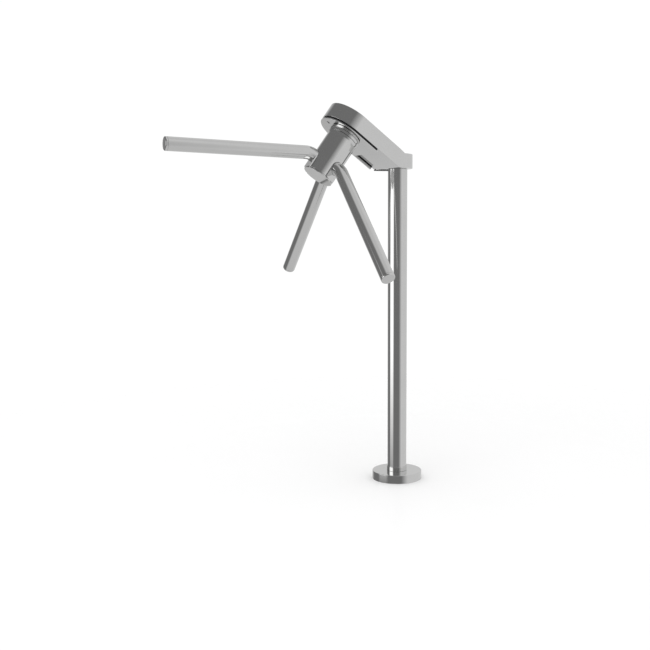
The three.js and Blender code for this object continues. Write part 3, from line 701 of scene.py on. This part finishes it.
def build_arms():
    line = arm_centre_line()
    along = turn_y(math.pi - ARM_ANGLE)
    for index in range(ARM_COUNT):
        outside = [arm_ring(centre, angle, ARM_RADIUS) for centre, angle in line]
        inside = [arm_ring(centre, angle, ARM_RADIUS - ARM_WALL) for centre, angle in reversed(line)]
        tube = moved(skinned(outside + inside, closed=True), along.inverted())
        place = HEAD @ turn_z(arm_heading(index)) @ along
        number = index + 1
        make_piece(f"arm_tube_{number}", tube, tube_steel, "rotor", [f"arm_{number}"],
                   place, edge=0.3)
        inner = ARM_RADIUS - ARM_WALL - GAP
        cap = turned([
            (0, -CAP_PLUG), (inner, -CAP_PLUG), (inner, GAP), (ARM_RADIUS, GAP, 0.2),
            (ARM_RADIUS, CAP_LENGTH, CAP_EDGE), (0, CAP_LENGTH),
        ], 96)
        cap = moved(cap, Matrix.Translation((0, 0, ARM_REACH - CAP_LENGTH)))
        make_piece(f"arm_end_{number}", cap, turned_steel, "rotor",
                   [f"arm_cap_{number}"], place)


# ---- surroundings ----
def grey(level):
    """Linear value of an 8-bit display grey."""
    share = level / 255
    return ((share + 0.055) / 1.055) ** 2.4


def build_camera():
    data = bpy.data.cameras.new("camera")
    data.sensor_width = SENSOR_WIDTH
    data.lens = LENS
    data.shift_x = FRAMING_SHIFT
    camera = bpy.data.objects.new("camera", data)
    camera.location = CAMERA_PLACE
    camera.rotation_mode = "QUATERNION"
    camera.rotation_quaternion = CAMERA_AIM.to_track_quat("-Z", "Y")
    bpy.context.scene.collection.objects.link(camera)
    bpy.context.scene.camera = camera


def along_direction(tree, source, direction):
    node = add(tree, "ShaderNodeVectorMath", operation="DOT_PRODUCT")
    tree.links.new(source, node.inputs[0])
    node.inputs[1].default_value = direction
    return node.outputs["Value"]


def soft_range(tree, value, start, end, softness):
    """1 between two values and 0 outside them, with a soft change at either side."""
    rising = mapped(tree, value, 0.0, 1.0, start - softness, start + softness)
    falling = mapped(tree, value, 1.0, 0.0, end - softness, end + softness)
    return maths(tree, "MULTIPLY", rising, falling)


def studio_walls(tree, direction):
    """The studio seen in polished metal: a dark front, pale walls on the right and behind, and one
    bright softbox on the left. Bearings are in degrees from the front, positive to the right."""
    sideways = along_direction(tree, direction, STUDIO_RIGHT)
    frontways = along_direction(tree, direction, STUDIO_FRONT)
    bearing = maths(tree, "MULTIPLY", maths(tree, "ARCTAN2", sideways, frontways), math.degrees(1))
    rise = along_direction(tree, direction, Vector((0, 0, 1)))
    height = maths(tree, "MULTIPLY", maths(tree, "ARCSINE", rise), math.degrees(1))
    dark, pale, bright, level_tone = [(grey(tone),) * 3 for tone in (105, 190, 275, 180)]
    walls = blended(tree, soft_range(tree, bearing, -150, 35, 15), pale, dark)
    width = soft_range(tree, bearing, -92, -48, 6)
    softbox = maths(tree, "MULTIPLY", width, soft_range(tree, height, -12, 22, 5))
    walls = blended(tree, softbox, walls, bright)
    return blended(tree, soft_range(tree, height, -40, 68, 8), level_tone, walls)


def build_world():
    world = bpy.data.worlds.new("studio")
    world.use_nodes = True
    bpy.context.scene.world = world
    tree = world.node_tree
    tree.nodes.clear()
    direction = add(tree, "ShaderNodeTexCoord").outputs["Generated"]
    reflected = add(tree, "ShaderNodeBackground", {"Strength": 1 / STEEL_TONE[0]})
    tree.links.new(studio_walls(tree, direction), reflected.inputs["Color"])
    plain = add(tree, "ShaderNodeBackground", {"Color": (1, 1, 1, 1), "Strength": 1.02})
    path = add(tree, "ShaderNodeLightPath")
    pick = add(tree, "ShaderNodeMixShader")
    tree.links.new(path.outputs["Is Glossy Ray"], pick.inputs[0])
    tree.links.new(plain.outputs[0], pick.inputs[1])
    tree.links.new(reflected.outputs[0], pick.inputs[2])
    output = add(tree, "ShaderNodeOutputWorld")
    tree.links.new(pick.outputs[0], output.inputs["Surface"])


def floor_material():
    """A pale floor that fades into the white background, with a faint sheen."""
    material = bpy.data.materials.new("floor")
    material.use_nodes = True
    tree = material.node_tree
    tree.nodes.clear()
    own = add(tree, "ShaderNodeTexCoord").outputs["Object"]
    matt = add(tree, "ShaderNodeBsdfDiffuse")
    cloud = noise(tree, own, 3.0)
    tone = blended(tree, cloud, (0.945, 0.945, 0.945), (0.955, 0.955, 0.955))
    tree.links.new(tone, matt.inputs["Color"])
    sheen = add(tree, "ShaderNodeBsdfAnisotropic", {"Roughness": 0.18})
    surface = add(tree, "ShaderNodeMixShader", {"Fac": 0.05})
    tree.links.new(matt.outputs[0], surface.inputs[1])
    tree.links.new(sheen.outputs[0], surface.inputs[2])
    distance = add(tree, "ShaderNodeVectorMath", operation="LENGTH")
    tree.links.new(own, distance.inputs[0])
    fade = mapped(tree, distance.outputs["Value"], 0.0, 1.0, 0.8, 1.9)
    clear = add(tree, "ShaderNodeBsdfTransparent")
    mixed = add(tree, "ShaderNodeMixShader")
    tree.links.new(fade, mixed.inputs[0])
    tree.links.new(surface.outputs[0], mixed.inputs[1])
    tree.links.new(clear.outputs[0], mixed.inputs[2])
    output = add(tree, "ShaderNodeOutputMaterial")
    tree.links.new(mixed.outputs[0], output.inputs["Surface"])
    return material


def build_floor():
    body = bmesh.new()
    bmesh.ops.create_circle(body, cap_ends=True, segments=96, radius=2.0)
    floor = plain_object("floor", body)
    floor.data.materials.append(floor_material())
    floor.visible_glossy = False


def build_softbox():
    data = bpy.data.lights.new("softbox", "AREA")
    data.shape = "DISK"
    data.size = 1.6
    data.energy = 8
    softbox = bpy.data.objects.new("softbox", data)
    softbox.location = (-0.9, -0.6, 2.6)
    softbox.rotation_mode = "QUATERNION"
    softbox.rotation_quaternion = (-softbox.location).to_track_quat("-Z", "Y")
    softbox.visible_glossy = False
    bpy.context.scene.collection.objects.link(softbox)


build_camera()
finish_cad_nodes()
build_foot()
build_post()
build_shell()
build_face()
build_side_rail()
build_bearing_housing()
build_hub()
build_arms()
build_world()
build_floor()
build_softbox()
bpy.context.scene.view_settings.view_transform = "Standard"
